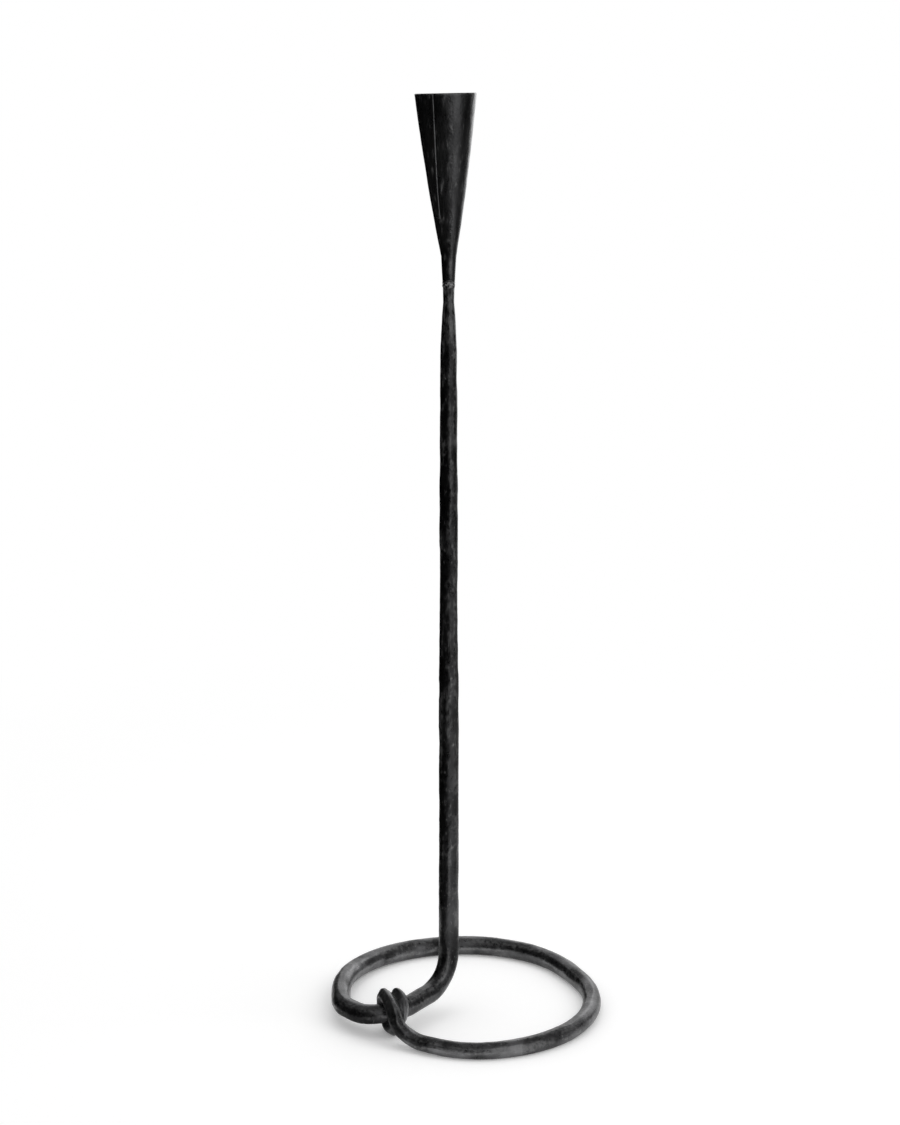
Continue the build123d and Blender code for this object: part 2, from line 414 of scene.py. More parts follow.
def close_ends(bm):
    """Caps every open end and marks the cap's rim sharp."""
    rims = [e for e in bm.edges if e.is_boundary]
    bmesh.ops.holes_fill(bm, edges=rims, sides=0)
    for edge in rims:
        edge.smooth = False


def finish_piece(bm, name, node, material):
    """Turns the mesh into a piece that stands for a node of the frame."""
    bmesh.ops.recalc_face_normals(bm, faces=bm.faces)
    open_edges = sum(1 for e in bm.edges if not e.is_manifold)
    if open_edges:
        raise RuntimeError(f"{name} has {open_edges} open edges")
    for face in bm.faces:
        face.smooth = True
    mesh = bpy.data.meshes.new(name)
    bm.to_mesh(mesh)
    bm.free()
    mesh.materials.append(material)
    piece = bpy.data.objects.new(name, mesh)
    bpy.context.scene.collection.objects.link(piece)
    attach(piece, "root")
    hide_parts(node)


def bar_wear_and_highlight(place, spoke, share, nicks):
    """How far the bar is made lighter: painted highlights on the neck and the front of the ring, rubbed
    wear on edges and nicks.
    """
    # painted highlight: a band round the neck is painted lighter
    neck_highlight = NECK_HIGHLIGHT * math.exp(-((place.z - NECK_HIGHLIGHT_HEIGHT) / NECK_HIGHLIGHT_REACH) ** 2)
    # painted highlight on the front of the ring, on faces that look sideways, not down or straight up
    front_highlight = FRONT_HIGHLIGHT * smoothstep(-58, -68, place.y) * smoothstep(-40, -12, place.x)
    front_highlight *= smoothstep(-0.4, 0.0, spoke.z) * smoothstep(0.85, 0.45, spoke.z)
    facet_edge = FACET_WEAR * smoothstep(1.01, 1.045, share)
    return max(neck_highlight, front_highlight, facet_edge, nicked(place, nicks))


def extruded_rings(bm, stations, segments):
    """Round tube along the stations; returns its rings of vertices."""
    start = bmesh.ops.create_circle(
        bm, cap_ends=False, segments=segments, radius=MM, matrix=stations[0].matrix()
    )
    ring = start["verts"]
    rings = [ring]
    for before, here in zip(stations, stations[1:]):
        edges = [
            e for e in {e for v in ring for e in v.link_edges} if all(v in ring for v in e.verts)
        ]
        grown = bmesh.ops.extrude_edge_only(bm, edges=edges)["geom"]
        ring = [g for g in grown if isinstance(g, bmesh.types.BMVert)]
        step = here.matrix() @ before.matrix().inverted()
        bmesh.ops.transform(bm, matrix=step, verts=ring)
        rings.append(ring)
    return rings


def cut_at_scarf(bm, verts, point, way, keep_front):
    """Cuts the tube across at a scarf, through the vertices near it only."""
    close = set(verts)
    edges = [e for e in {e for v in verts for e in v.link_edges} if set(e.verts) <= close]
    faces = [f for f in {f for v in verts for f in v.link_faces} if set(f.verts) <= close]
    bmesh.ops.bisect_plane(
        bm, geom=verts + edges + faces, dist=1e-8, plane_co=point * MM, plane_no=way,
        clear_outer=not keep_front, clear_inner=keep_front,
    )


def forged_stretch(first, last, settings, scarfs, tip=False):
    """Mesh of the bar between two lengths, cut at its scarfs and closed."""
    stations, marks = bar_stations(settings.spacing)
    hammering = Hammering(marks, settings)
    end = stations[-1].walked
    chosen = [s for s in stations if first - 1e-6 <= s.walked <= last + 1e-6]
    bm = bmesh.new()
    wear_and_highlight = bm.verts.layers.float.new("wear_and_highlight")
    rings = extruded_rings(bm, chosen, settings.segments)
    nicks = nick_places(STEM_NICKS)
    for station, ring in zip(chosen, rings):
        third = station.way.cross(station.side)
        middle = station.middle
        spokes = [v.co / MM - middle for v in ring]
        angles = [math.atan2(p.dot(third), p.dot(station.side)) for p in spokes]
        rounding = 1.0
        tip_length = station.radius * TIP_LENGTH
        if tip and end - station.walked < tip_length:
            left = (end - station.walked) / tip_length
            rounding = max(TIP_FLAT, math.sqrt(1 - (1 - left) ** 2))
        reach = hammering.radii(station, angles, outward_angle(station))
        for vert, angle, out in zip(ring, angles, reach):
            spoke = station.side * math.cos(angle) + third * math.sin(angle)
            out += grain(middle + spoke * out, station)
            place = middle + spoke * out * rounding
            place.z = max(place.z, 0.0)
            vert.co = place * MM
            vert[wear_and_highlight] = bar_wear_and_highlight(place, spoke, out / station.radius, nicks)
    for walked, point, way, keep_front in scarfs:
        near = [
            v for station, ring in zip(chosen, rings)
            if abs(station.walked - walked) < SCARF_REACH for v in ring
        ]
        cut_at_scarf(bm, near, point, way, keep_front)
    close_ends(bm)
    return bm


def knot_scarf():
    return KNOT_CENTRE, heading(KNOT_HEADING - SCARF_ANGLE)


def tail_scarf():
    point = on_ring(*RING_STATIONS[-1][:3])
    return point, heading(RING_STATIONS[-1][0] - 90 - SCARF_ANGLE)


def new_material(name):
    material = bpy.data.materials.new(name)
    material.use_nodes = True
    nodes = material.node_tree.nodes
    nodes.clear()
    output = nodes.new("ShaderNodeOutputMaterial")
    shader = nodes.new("ShaderNodeBsdfPrincipled")
    material.node_tree.links.new(shader.outputs["BSDF"], output.inputs["Surface"])
    return material, nodes, material.node_tree.links, shader


def noise_node(nodes, links, place, scale, detail, roughness=0.5):
    node = nodes.new("ShaderNodeTexNoise")
    node.inputs["Scale"].default_value = scale
    node.inputs["Detail"].default_value = detail
    node.inputs["Roughness"].default_value = roughness
    links.new(place, node.inputs["Vector"])
    return node


def ramp_node(nodes, links, value, stops):
    node = nodes.new("ShaderNodeValToRGB")
    ramp = node.color_ramp
    while len(ramp.elements) < len(stops):
        ramp.elements.new(0.5)
    for element, (place, shade) in zip(ramp.elements, stops):
        element.position = place
        element.color = (shade[0], shade[1], shade[2], 1)
    links.new(value, node.inputs["Fac"])
    return node


# Sizes of the iron's noises, as counts in a metre, and how dark and light its clouds are
CLOUDS = 70
SCALE_MARKS = 520
PITS = 900
DARK_CLOUD = 0.3
LIGHT_CLOUD = 1.8
BUMP_HEIGHT = 0.0004
# metallic of the rubbed places and of the painted highlights
BARE_AND_HIGHLIGHT_METALLIC = 0.45


def blackened_iron(name, finish, scale=1.0, streaks=1.0, shade=1.0, bare=0.0):
    """Hammered iron, blackened in the fire and waxed, rubbed bright where it stands proud, and lighter
    where the attribute marks painted highlights; shade scales the whole colour, painted shade below 1
    and painted light above 1.
    """
    material, nodes, links, shader = new_material(name)
    place = nodes.new("ShaderNodeTexCoord").outputs["Object"]
    stretch = nodes.new("ShaderNodeMapping")
    stretch.inputs["Scale"].default_value = (1, 1, streaks)
    links.new(place, stretch.inputs["Vector"])
    clouds = noise_node(nodes, links, stretch.outputs["Vector"], CLOUDS * scale, 4)
    stretched = stretch.outputs["Vector"]
    scale_marks = noise_node(nodes, links, stretched, SCALE_MARKS * scale, 6, 0.6)
    pits = nodes.new("ShaderNodeTexVoronoi")
    pits.inputs["Scale"].default_value = PITS * scale
    links.new(place, pits.inputs["Vector"])

    # shade scales the whole colour: painted shade below 1, painted light above 1
    dark = [c * shade * DARK_CLOUD for c in finish.iron_colour]
    light = [c * shade * LIGHT_CLOUD for c in finish.iron_colour]
    tone = ramp_node(nodes, links, clouds.outputs["Fac"], [(0.32, dark), (0.66, light)])

    # Rubbed places: flecks all over, and the edges, nicks and painted highlights that the attribute
    # marks
    flecks = ramp_node(
        nodes, links, scale_marks.outputs["Fac"],
        [(0.59 - 0.14 * bare, (0, 0, 0)), (0.7 - 0.14 * bare, (1, 1, 1))],
    )
    edge = nodes.new("ShaderNodeAttribute")
    edge.attribute_name = "wear_and_highlight"
    broken = ramp_node(
        nodes, links, scale_marks.outputs["Fac"], [(0.4, (0.1, 0.1, 0.1)), (0.6, (1, 1, 1))]
    )
    wear_and_highlight = nodes.new("ShaderNodeMath")
    wear_and_highlight.operation = "MULTIPLY"
    links.new(edge.outputs["Fac"], wear_and_highlight.inputs[0])
    links.new(broken.outputs["Color"], wear_and_highlight.inputs[1])
    rubbed = nodes.new("ShaderNodeMath")
    rubbed.operation = "MULTIPLY"
    rubbed.inputs[1].default_value = finish.rubbing * (1 + bare)
    links.new(flecks.outputs["Color"], rubbed.inputs[0])
    share = nodes.new("ShaderNodeMath")
    share.operation = "MAXIMUM"
    links.new(wear_and_highlight.outputs["Value"], share.inputs[0])
    links.new(rubbed.outputs["Value"], share.inputs[1])
    mix = nodes.new("ShaderNodeMix")
    mix.data_type = "RGBA"
    mix.inputs["B"].default_value = (*finish.bare_and_highlight_colour, 1)
    links.new(share.outputs["Value"], mix.inputs["Factor"])
    links.new(tone.outputs["Color"], mix.inputs["A"])
    links.new(mix.outputs["Result"], shader.inputs["Base Color"])

    waxed = nodes.new("ShaderNodeMapRange")
    waxed.inputs["To Min"].default_value = finish.metallic
    waxed.inputs["To Max"].default_value = BARE_AND_HIGHLIGHT_METALLIC
    links.new(share.outputs["Value"], waxed.inputs["Value"])
    links.new(waxed.outputs["Result"], shader.inputs["Metallic"])

    gloss = nodes.new("ShaderNodeMapRange")
    gloss.inputs["From Min"].default_value = 0.35
    gloss.inputs["From Max"].default_value = 0.7
    gloss.inputs["To Min"].default_value = finish.roughness - 0.08
    gloss.inputs["To Max"].default_value = finish.roughness + 0.14
    links.new(scale_marks.outputs["Fac"], gloss.inputs["Value"])
    links.new(gloss.outputs["Result"], shader.inputs["Roughness"])

    height = nodes.new("ShaderNodeMath")
    height.operation = "MULTIPLY_ADD"
    height.inputs[1].default_value = 0.5
    links.new(pits.outputs["Distance"], height.inputs[0])
    links.new(scale_marks.outputs["Fac"], height.inputs[2])
    bump = nodes.new("ShaderNodeBump")
    bump.inputs["Strength"].default_value = finish.bump
    bump.inputs["Distance"].default_value = BUMP_HEIGHT
    links.new(height.outputs["Value"], bump.inputs["Height"])
    links.new(bump.outputs["Normal"], shader.inputs["Normal"])
    return material


class ForgedBar(bpy.types.PropertyGroup):
    segments: IntProperty(
        name="Segments", description="Vertices round the bar", default=40, min=16, max=64
    )
    spacing: FloatProperty(
        name="Spacing", description="Step along the bar in millimetres", default=1.1
    )
    flat_depth: FloatProperty(
        name="Flat depth", description="How deep the long flats are, as a share of the radius",
        default=0.028,
    )
    dent_depth: FloatProperty(
        name="Dent depth", description="Deepest hammer dent in millimetres", default=0.17
    )
    strand_squareness: FloatProperty(
        name="Strand squareness", description="How far the wrapped end is squared", default=0.13
    )
    seed: IntProperty(name="Seed", description="Order of the hammer dents", default=5)


class RolledSocket(bpy.types.PropertyGroup):
    columns: IntProperty(
        name="Columns", description="Faces round the cone", default=120, min=24, max=240
    )
    sheet: FloatProperty(
        name="Sheet", description="Thickness of the sheet", default=0.0015, unit="LENGTH"
    )
    lap_step: FloatProperty(
        name="Lap step", description="How far the lap's edge stands proud",
        default=0.0006, unit="LENGTH",
    )


class IronFinish(bpy.types.PropertyGroup):
    iron_colour: FloatVectorProperty(
        name="Iron colour", description="Average colour of the blackened iron",
        default=(0.085, 0.085, 0.087), subtype="COLOR", min=0, max=1,
    )
    # colour of the rubbed places, also used for the painted highlights
    bare_and_highlight_colour: FloatVectorProperty(
        name="Bare colour", description="Colour of the iron where it is rubbed",
        default=(0.3, 0.3, 0.3), subtype="COLOR", min=0, max=1,
    )
    rubbing: FloatProperty(
        name="Rubbing", description="How far the proud places are rubbed", default=0.45,
        subtype="FACTOR", min=0, max=1,
    )
    metallic: FloatProperty(
        name="Metallic", description="How metallic the waxed surface is", default=0.96,
        subtype="FACTOR", min=0, max=1,
    )
    roughness: FloatProperty(
        name="Roughness", description="Average roughness of the waxed surface", default=0.34,
        subtype="FACTOR", min=0, max=1,
    )
    bump: FloatProperty(
        name="Bump", description="Strength of the fine scale and pits", default=0.35,
        subtype="FACTOR", min=0, max=1,
    )


class StudioStage(bpy.types.PropertyGroup):
    floor_colour: FloatVectorProperty(
        name="Floor colour", description="Colour of the paper floor",
        default=(0.95, 0.95, 0.95), subtype="COLOR", min=0, max=1,
    )
    floor_lift: FloatProperty(
        name="Floor lift", description="White added to the paper where the camera sees it",
        default=0.16, min=0, max=1,
    )
    lamp_power: FloatProperty(
        name="Lamp power", description="Power of each softbox", default=6.0, unit="POWER"
    )
    room_light: FloatProperty(
        name="Room light", description="Even light from the room", default=0.65
    )
    ceiling_grey: FloatProperty(
        name="Ceiling grey", description="How light the ceiling shows in reflections", default=0.15
    )
    # floor_grey also sets the sheet beside the knot, which is painted contact shade in reflections
    floor_grey: FloatProperty(
        name="Floor grey", description="How light the paper on the right shows in reflections",
        default=0.2,
    )
    side_grey: FloatProperty(
        name="Side grey", description="How light the right side shows in reflections", default=0.1
    )


class CANDLESTICK_OT_stem(bpy.types.Operator):
    """Builds the hammered upright with its tang, neck, heel and level run into the knot"""

    bl_idname = "candlestick.stem"
    bl_label = "Stem"

    def execute(self, context):
        bar = context.scene.forged_bar
        marks = bar_stations(bar.spacing)[1]
        scarf = (marks[KNOT_MARK], *knot_scarf(), False)
        bm = forged_stretch(0, marks[KNOT_MARK] + SCARF_SPARE, bar, [scarf])
        # shade 0.6 paints the stem darker than the ring: painted shade that dulls its reflections
        iron = blackened_iron("stem_iron", context.scene.iron_finish, 1.0, 0.5, shade=0.6)
        finish_piece(bm, "hammered_stem", "stem", iron)
        return {"FINISHED"}


class CANDLESTICK_OT_foot_ring(bpy.types.Operator):
    """Builds the ring foot, from the weld inside the wrap round to the front"""

    bl_idname = "candlestick.foot_ring"
    bl_label = "Foot ring"

    def execute(self, context):
        bar = context.scene.forged_bar
        marks = bar_stations(bar.spacing)[1]
        scarfs = [
            (marks[KNOT_MARK], *knot_scarf(), True),
            (marks[TAIL_MARK], *tail_scarf(), False),
        ]
        start = marks[KNOT_MARK] - SCARF_SPARE
        bm = forged_stretch(start, marks[TAIL_MARK] + SCARF_SPARE, bar, scarfs)
        iron = blackened_iron("ring_iron", context.scene.iron_finish)
        finish_piece(bm, "hammered_ring", "foot_ring", iron)
        return {"FINISHED"}


class CANDLESTICK_OT_knot_wrap(bpy.types.Operator):
    """Builds the drawn-down end of the ring, wound round the bar"""

    bl_idname = "candlestick.knot_wrap"
    bl_label = "Knot wrap"

    def execute(self, context):
        bar = context.scene.forged_bar
        marks = bar_stations(bar.spacing)[1]
        scarf = (marks[TAIL_MARK], *tail_scarf(), True)
        end = marks[len(marks)]
        bm = forged_stretch(marks[TAIL_MARK] - SCARF_SPARE, end, bar, [scarf], tip=True)
        # shade 1.3 paints the strands of the wrap lighter than the ring: painted light
        iron = blackened_iron("wrap_iron", context.scene.iron_finish, shade=1.3)
        finish_piece(bm, "wrapped_end", "knot_wrap", iron)
        return {"FINISHED"}


# Socket sizes in millimetres
WELD_FOOT = 411.2
WELD_FOOT_RADIUS = 3.2
WELD_BULGE = 0.12
WELD_ROWS = 10
WELD_LUMPS = ((0.35, 1.2), (0.2, 0.5))      # height and size of its two layers of lumps
SHANK_LIP = 414.6
CONE_FOOT = 428.0
CONE_LENGTH = 84.7
CONE_LEAN = 1.1
CONE_SWELL = 0.75           # how far the cone's side bows out from a straight line
HALF_SHEET = 0.75           # what is nearer to the outside than this belongs to it
RIM_RADIUS = 16.35
SHANK_TOP_RADIUS = 4.1
SHANK_LIP_RADIUS = 3.35
BORE_RADIUS = 2.42
LAP_FOOT = 20.4
LAP_SEAM = 241.5
SEAM_SLANT = 10.0           # angle by which the seam turns from the rim to the foot of the cone
SEAM_BAND = 0.9             # half the width of the fine mesh along the seam, in degrees
SEAM_LINE = 0.45            # half the width of the rubbed line along the seam, in degrees
SEAM_GROOVE = 0.12          # depth of the groove beside the seam
GROOVE_START = 1.4          # how many degrees before the seam it still runs
GROOVE_REACH = 0.9          # half the groove's width in degrees
LAP_BEVEL = 0.2             # half the height of the bevel at the lap's foot
LAP_FOOT_ROWS = 0.3         # how far above and below it the mesh has rows of its own
RIM_HEIGHT = 0.4            # height of the rim's rounding
# Depth, squeeze along the cone and size of its two layers of shallow dents
CONE_DENTS = ((0.10, 0.45, 6), (0.05, 0.6, 2.2))
CONE_ROWS = 60
TUBE_ROWS = 8
RIM_ROWS = 6
LAP_WIDTH = 62.0            # angle that the lap covers


def cone_radius(along, foot_radius, rim_radius):
    """Radius of the bowed cone at a distance from its foot."""
    share = along / CONE_LENGTH
    return foot_radius + (rim_radius - foot_radius) * share + CONE_SWELL * 4 * share * (1 - share)


def socket_profile(sheet):
    """Closed section of the socket from the tube's lip, over the rim and down the bore."""
    tube_height = CONE_FOOT - SHANK_LIP
    profile = []
    for step in range(TUBE_ROWS + 1):
        share = step / TUBE_ROWS
        radius = SHANK_LIP_RADIUS + (SHANK_TOP_RADIUS - SHANK_LIP_RADIUS) * share
        profile.append((radius, -tube_height + tube_height * share))
    rows = [CONE_LENGTH * step / CONE_ROWS for step in range(1, CONE_ROWS)]
    for along in sorted(rows + [LAP_FOOT - LAP_FOOT_ROWS, LAP_FOOT, LAP_FOOT + LAP_FOOT_ROWS]):
        profile.append((cone_radius(along, SHANK_TOP_RADIUS, RIM_RADIUS), along))
    for step in range(RIM_ROWS + 1):
        turn = math.radians(180 * step / RIM_ROWS)
        profile.append((
            RIM_RADIUS - sheet / 2 + sheet / 2 * math.cos(turn),
            CONE_LENGTH - RIM_HEIGHT + RIM_HEIGHT * math.sin(turn),
        ))
    for along in reversed(rows):
        inner = cone_radius(along, SHANK_TOP_RADIUS, RIM_RADIUS) - sheet
        profile.append((max(inner, BORE_RADIUS), along))
    return profile + [(BORE_RADIUS, 0), (BORE_RADIUS, -tube_height)]


def spun_socket(bm, sheet, columns):
    """Spins the section all the way round, in finer steps along the seam."""
    first_way = heading(LAP_SEAM + SEAM_BAND)
    verts = [bm.verts.new(first_way * r * MM + UP * h * MM) for r, h in socket_profile(sheet)]
    edges = [bm.edges.new(pair) for pair in zip(verts, verts[1:] + verts[:1])]
    seam_angle = math.radians(2 * SEAM_BAND)
    first = bmesh.ops.spin(
        bm, geom=verts + edges, cent=(0, 0, 0), axis=UP, dvec=(0, 0, 0),
        angle=2 * math.pi - seam_angle, steps=columns, use_merge=False,
    )
    bmesh.ops.spin(
        bm, geom=first["geom_last"], cent=(0, 0, 0), axis=UP, dvec=(0, 0, 0),
        angle=seam_angle, steps=4, use_merge=False,
    )
    bmesh.ops.remove_doubles(bm, verts=bm.verts, dist=1e-6)


def shape_lap(vert, wear_and_highlight, lap_step, nicks):
    """Moves a vertex of the plain cone to its place on the lapped, dented and leaning one."""
    point = vert.co / MM
    past_seam = (math.degrees(math.atan2(point.y, point.x)) - LAP_SEAM) % 360
    before_seam = (360 - past_seam) % 360
    slant = SEAM_SLANT * (smoothstep(0, CONE_LENGTH, point.z) - 0.5)
    base = STEM_AXIS + UP * CONE_FOOT
    radius = math.hypot(point.x, point.y)
    surface = cone_radius(max(0, point.z), SHANK_TOP_RADIUS, RIM_RADIUS)
    outside = radius > surface - HALF_SHEET
    proud = 0.0
    lap_wear_and_highlight = 0.0
    if outside:
        lap = smoothstep(LAP_FOOT - LAP_BEVEL, LAP_FOOT + LAP_BEVEL, point.z)
        proud += lap_step * lap * (1 - smoothstep(0, LAP_WIDTH, before_seam))
        from_seam = (past_seam + GROOVE_START) % 360 - GROOVE_START
        groove = math.exp(-(from_seam / GROOVE_REACH) ** 2)
        proud -= SEAM_GROOVE * groove * smoothstep(6, LAP_FOOT, point.z)
        # painted highlights: light lines along the seam, along the lap's foot and round the rim; the
        # nicks are rubbed wear
        beside = min(past_seam, before_seam)
        seam_edge = math.exp(-(beside / SEAM_LINE) ** 2) * smoothstep(4, LAP_FOOT, point.z)
        foot_edge = math.exp(-((point.z - LAP_FOOT) / 0.4) ** 2) * (before_seam < LAP_WIDTH / 3)
        rim_edge = smoothstep(CONE_LENGTH - 0.6, CONE_LENGTH - 0.1, point.z)
        near_nick = nicked(base + point, nicks)
        lap_wear_and_highlight = max(
            SEAM_HIGHLIGHT * seam_edge, LAP_FOOT_HIGHLIGHT * foot_edge, RIM_HIGHLIGHT * rim_edge, near_nick
        )
    vert[wear_and_highlight] = lap_wear_and_highlight
    dent = sum(
        depth * noise.noise(Vector((point.x, point.y, point.z * squeeze)) / size)
        for depth, squeeze, size in CONE_DENTS
    )
    rise = smoothstep(-9, 4, point.z)
    point += Vector((point.x, point.y, 0)).normalized() * (proud + dent * rise)
    point.rotate(Matrix.Rotation(math.radians(slant), 3, "Z"))
    lean = Matrix.Rotation(-math.radians(CONE_LEAN), 3, "Y")
    vert.co = (base + (lean @ point if point.z > 0 else point)) * MM


class CANDLESTICK_OT_socket(bpy.types.Operator):
    """Builds the cone of rolled sheet with its lap, rim and tube"""

    bl_idname = "candlestick.socket"
    bl_label = "Candle socket"

    def execute(self, context):
        settings = context.scene.rolled_socket
        bm = bmesh.new()
        spun_socket(bm, settings.sheet / MM, settings.columns)
        wear_and_highlight = bm.verts.layers.float.new("wear_and_highlight")
        nicks = nick_places(CONE_NICKS)
        for vert in bm.verts:
            shape_lap(vert, wear_and_highlight, settings.lap_step / MM, nicks)
        iron = blackened_iron("socket_iron", context.scene.iron_finish, 0.8, 0.3)
        finish_piece(bm, "rolled_socket", "candle_socket", iron)
        return {"FINISHED"}


class CANDLESTICK_OT_weld(bpy.types.Operator):
    """Builds the dressed bead that closes the socket's tube on the stem"""

    bl_idname = "candlestick.weld"
    bl_label = "Socket weld"

    def execute(self, context):
        bm = bmesh.new()
        height = SHANK_LIP - WELD_FOOT
        profile = []
        for step in range(WELD_ROWS + 1):
            share = step / WELD_ROWS
            edge = WELD_FOOT_RADIUS + (SHANK_LIP_RADIUS - WELD_FOOT_RADIUS) * share
            profile.append((edge + WELD_BULGE * math.sin(math.pi * share), height * share))
        profile.append((BORE_RADIUS, height))
        profile.append((BORE_RADIUS, 0))
        verts = [bm.verts.new(Vector((r, 0, h)) * MM) for r, h in profile]
        edges = [bm.edges.new(pair) for pair in zip(verts, verts[1:] + verts[:1])]
        bmesh.ops.spin(
            bm, geom=verts + edges, cent=(0, 0, 0), axis=UP, dvec=(0, 0, 0),
            angle=2 * math.pi, steps=64, use_merge=True,
        )
        bmesh.ops.remove_doubles(bm, verts=bm.verts, dist=1e-6)
        for vert in bm.verts:
            point = vert.co / MM
            radial = Vector((point.x, point.y, 0))
            if radial.length > (BORE_RADIUS + WELD_FOOT_RADIUS) / 2:
                middle = math.sin(math.pi * min(1, max(0, point.z / height)))
                lump = sum(rise * noise.noise(point / size) for rise, size in WELD_LUMPS)
                point += radial.normalized() * lump * middle
            vert.co = (point + STEM_AXIS + UP * WELD_FOOT) * MM
        iron = blackened_iron("weld_iron", context.scene.iron_finish, 1.6, bare=1.0)
        finish_piece(bm, "weld_bead", "socket_weld", iron)
        return {"FINISHED"}


CAMERA_PLACE = Vector((-9.1, -1142.0, 513.0)) * MM
CAMERA_DIP = 12.49
CAMERA_LENS = 67.9
SENSOR_WIDTH = 36
PAPER_SIZE = 12.0
PAPER_FADE = (0.25, 0.8)    # metres from the middle between which the paper runs into the white
GLOW = 2.2                  # strength of the card behind on the right

# Cards that only reflections see: name, material, middle, what it faces, width, height
CARDS = (
    ("card_left", "black_card", (-0.8, -0.2, 0.8), (0, -0.2, 0.8), 2.2, 1.6),
    ("card_back_left", "black_card", (-0.6, 1.05, 0.35), (0, 0, 0.35), 0.6, 0.7),
    ("card_front", "black_card", (-0.3, -1.0, 0.35), (-0.3, 0, 0.35), 1.2, 0.7),
    ("card_right", "side_card", (0.85, 0.1, 0.5), (0, 0.1, 0.5), 1.2, 1.0),
    ("card_bright", "bright_card", (0.5, -0.6, 0.25), (0, 0, 0.25), 0.22, 0.5),
    ("card_back_right", "glow_card", (0.56, 1.06, 0.76), (0, 0, 0.76), 0.76, 0.88),
    ("card_ceiling", "ceiling_card", (0, 0, 1.3), (0, 0, 0), 3.0, 2.4),
    ("card_floor_left", "black_card", (-1.1, -0.25, 0.002), (-1.1, -0.25, 0), 2.0, 2.5),
    # dim sheet beside the knot that only reflections see: painted contact shade on the floor
    ("knot_shade_card", "dim_card", (-0.07, -0.2, 0.002), (-0.07, -0.2, 0), 0.06, 0.36),
    ("card_floor_front", "black_card", (0.43, -1.0, 0.002), (0.43, -1.0, 0), 1.12, 1.3),
    ("card_floor_right", "dim_card", (0.85, 0.35, 0.002), (0.85, 0.35, 0), 1.3, 1.4),
)


def aim(thing, target):
    thing.rotation_euler = (target - thing.location).to_track_quat("-Z", "Y").to_euler()


def softbox(name, place, target, width, height, power):
    data = bpy.data.lights.new(name, "AREA")
    data.shape = "RECTANGLE"
    data.size = width
    data.size_y = height
    data.energy = power
    lamp = bpy.data.objects.new(name, data)
    lamp.location = place
    aim(lamp, Vector(target))
    bpy.context.scene.collection.objects.link(lamp)


def card_material(name, level):
    """Even grey that only reflections see."""
    material = bpy.data.materials.new(name)
    material.use_nodes = True
    nodes = material.node_tree.nodes
    nodes.clear()
    output = nodes.new("ShaderNodeOutputMaterial")
    shine = nodes.new("ShaderNodeEmission")
    shine.inputs["Color"].default_value = (level, level, level, 1)
    material.node_tree.links.new(shine.outputs["Emission"], output.inputs["Surface"])
    return material


def reflection_card(name, material, place, target, width, height):
    """Studio card beside the object that shows only in its reflections."""
    bm = bmesh.new()
    bmesh.ops.create_grid(bm, x_segments=1, y_segments=1, size=0.5)
    bmesh.ops.scale(bm, vec=(width, height, 1), verts=bm.verts)
    mesh = bpy.data.meshes.new(name)
    bm.to_mesh(mesh)
    bm.free()
    mesh.materials.append(material)
    card = bpy.data.objects.new(name, mesh)
    card.location = place
    aim(card, Vector(target))
    bpy.context.scene.collection.objects.link(card)
    card.visible_camera = False
    card.visible_diffuse = False
    card.visible_shadow = False
    card.visible_transmission = False


def seen_directly(tree):
    """Socket that is 1 for what the camera sees, straight or in a reflection or through glass."""
    path = tree.nodes.new("ShaderNodeLightPath")
    seen = path.outputs["Is Camera Ray"]
    for name in ("Is Glossy Ray", "Is Transmission Ray"):
        either = tree.nodes.new("ShaderNodeMath")
        either.operation = "MAXIMUM"
        tree.links.new(seen, either.inputs[0])
        tree.links.new(path.outputs[name], either.inputs[1])
        seen = either.outputs["Value"]
    return seen


def paper(stage):
    """White paper that keeps the object's shadow near it and runs into the white far from it."""
    material, nodes, links, shader = new_material("paper")
    output = next(n for n in nodes if n.type == "OUTPUT_MATERIAL")
    shader.inputs["Base Color"].default_value = (*stage.floor_colour, 1)
    shader.inputs["Roughness"].default_value = 0.9
    shader.inputs["Specular IOR Level"].default_value = 0.1
    seen = seen_directly(material.node_tree)
    lift = nodes.new("ShaderNodeMath")
    lift.operation = "MULTIPLY"
    lift.inputs[1].default_value = stage.floor_lift
    links.new(seen, lift.inputs[0])
    shader.inputs["Emission Color"].default_value = (1, 1, 1, 1)
    links.new(lift.outputs["Value"], shader.inputs["Emission Strength"])
    away = nodes.new("ShaderNodeVectorMath")
    away.operation = "LENGTH"
    links.new(nodes.new("ShaderNodeTexCoord").outputs["Object"], away.inputs[0])
    fade = nodes.new("ShaderNodeMapRange")
    fade.interpolation_type = "SMOOTHSTEP"
    fade.inputs["From Min"].default_value = PAPER_FADE[0]
    fade.inputs["From Max"].default_value = PAPER_FADE[1]
    links.new(away.outputs["Value"], fade.inputs["Value"])
    share = nodes.new("ShaderNodeMath")
    share.operation = "MULTIPLY"
    links.new(seen, share.inputs[0])
    links.new(fade.outputs["Result"], share.inputs[1])
    white = nodes.new("ShaderNodeEmission")
    white.inputs["Color"].default_value = (1, 1, 1, 1)
    mix = nodes.new("ShaderNodeMixShader")
    links.new(share.outputs["Value"], mix.inputs["Fac"])
    links.new(shader.outputs["BSDF"], mix.inputs[1])
    links.new(white.outputs["Emission"], mix.inputs[2])
    links.new(mix.outputs["Shader"], output.inputs["Surface"])
    return material


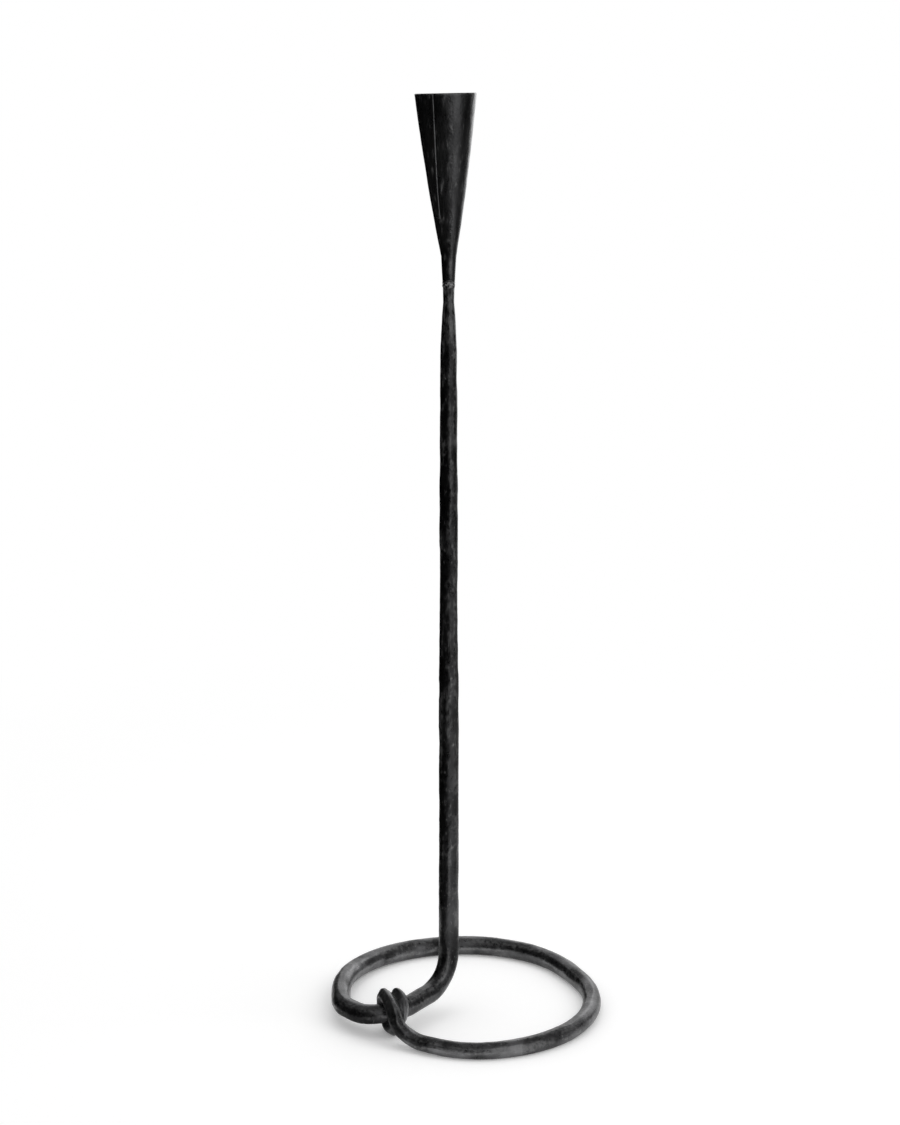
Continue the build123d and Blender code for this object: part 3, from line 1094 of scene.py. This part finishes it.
class CANDLESTICK_OT_stage(bpy.types.Operator):
    """Sets up the pale floor, the soft studio light and the camera"""

    bl_idname = "candlestick.stage"
    bl_label = "Stage"

    def execute(self, context):
        stage = context.scene.studio_stage
        scene = context.scene
        bm = bmesh.new()
        bmesh.ops.create_grid(bm, x_segments=1, y_segments=1, size=PAPER_SIZE)
        mesh = bpy.data.meshes.new("paper_floor")
        bm.to_mesh(mesh)
        bm.free()
        floor = bpy.data.objects.new("paper_floor", mesh)
        scene.collection.objects.link(floor)
        mesh.materials.append(paper(stage))

        world = bpy.data.worlds.new("studio")
        scene.world = world
        world.use_nodes = True
        tree = world.node_tree
        tree.nodes.clear()
        output = tree.nodes.new("ShaderNodeOutputWorld")
        room = tree.nodes.new("ShaderNodeBackground")
        room.inputs["Color"].default_value = (1, 1, 1, 1)
        room.inputs["Strength"].default_value = stage.room_light
        white = tree.nodes.new("ShaderNodeBackground")
        white.inputs["Color"].default_value = (1, 1, 1, 1)
        white.inputs["Strength"].default_value = 1.0
        mix = tree.nodes.new("ShaderNodeMixShader")
        tree.links.new(seen_directly(tree), mix.inputs["Fac"])
        tree.links.new(room.outputs["Background"], mix.inputs[1])
        tree.links.new(white.outputs["Background"], mix.inputs[2])
        tree.links.new(mix.outputs["Shader"], output.inputs["Surface"])

        power = stage.lamp_power
        softbox("softbox_right", (1.1, -0.2, 1.3), (0, 0, 0.2), 0.9, 1.2, power)
        softbox("softbox_top", (-0.2, 0.5, 1.8), (0, 0, 0), 1.4, 1.4, power)
        levels = {
            "black_card": 0.0,
            "side_card": stage.side_grey,
            "bright_card": 1.0,
            "glow_card": GLOW,
            "ceiling_card": stage.ceiling_grey,
            "dim_card": stage.floor_grey,
        }
        greys = {name: card_material(name, level) for name, level in levels.items()}
        for name, grey, place, target, width, height in CARDS:
            reflection_card(name, greys[grey], place, target, width, height)

        data = bpy.data.cameras.new("camera")
        data.sensor_width = SENSOR_WIDTH
        data.lens = CAMERA_LENS
        camera = bpy.data.objects.new("camera", data)
        camera.location = CAMERA_PLACE
        camera.rotation_euler = (math.radians(90 - CAMERA_DIP), 0, 0)
        scene.collection.objects.link(camera)
        scene.camera = camera
        scene.view_settings.view_transform = "Standard"
        return {"FINISHED"}


class CANDLESTICK_PT_panel(bpy.types.Panel):
    """Lists the candlestick's pieces and their settings"""

    bl_idname = "CANDLESTICK_PT_panel"
    bl_label = "Candlestick"
    bl_space_type = "VIEW_3D"
    bl_region_type = "UI"
    bl_category = "Candlestick"

    def draw(self, context):
        scene = context.scene
        for group in (scene.forged_bar, scene.rolled_socket, scene.iron_finish, scene.studio_stage):
            box = self.layout.box()
            for name in group.__annotations__:
                box.prop(group, name)
        for operator in OPERATORS:
            self.layout.operator(operator.bl_idname)


OPERATORS = (
    CANDLESTICK_OT_stem,
    CANDLESTICK_OT_foot_ring,
    CANDLESTICK_OT_knot_wrap,
    CANDLESTICK_OT_socket,
    CANDLESTICK_OT_weld,
    CANDLESTICK_OT_stage,
)
GROUPS = {
    "forged_bar": ForgedBar,
    "rolled_socket": RolledSocket,
    "iron_finish": IronFinish,
    "studio_stage": StudioStage,
}


def register():
    for group in GROUPS.values():
        bpy.utils.register_class(group)
    for operator in OPERATORS:
        bpy.utils.register_class(operator)
    bpy.utils.register_class(CANDLESTICK_PT_panel)
    for name, group in GROUPS.items():
        setattr(bpy.types.Scene, name, PointerProperty(type=group))


def unregister():
    for name in GROUPS:
        delattr(bpy.types.Scene, name)
    bpy.utils.unregister_class(CANDLESTICK_PT_panel)
    for operator in reversed(OPERATORS):
        bpy.utils.unregister_class(operator)
    for group in reversed(GROUPS.values()):
        bpy.utils.unregister_class(group)


def main():
    register()
    bpy.ops.candlestick.stem()
    bpy.ops.candlestick.foot_ring()
    bpy.ops.candlestick.knot_wrap()
    bpy.ops.candlestick.socket()
    bpy.ops.candlestick.weld()
    bpy.ops.candlestick.stage()


if __name__ == "__main__":
    main()
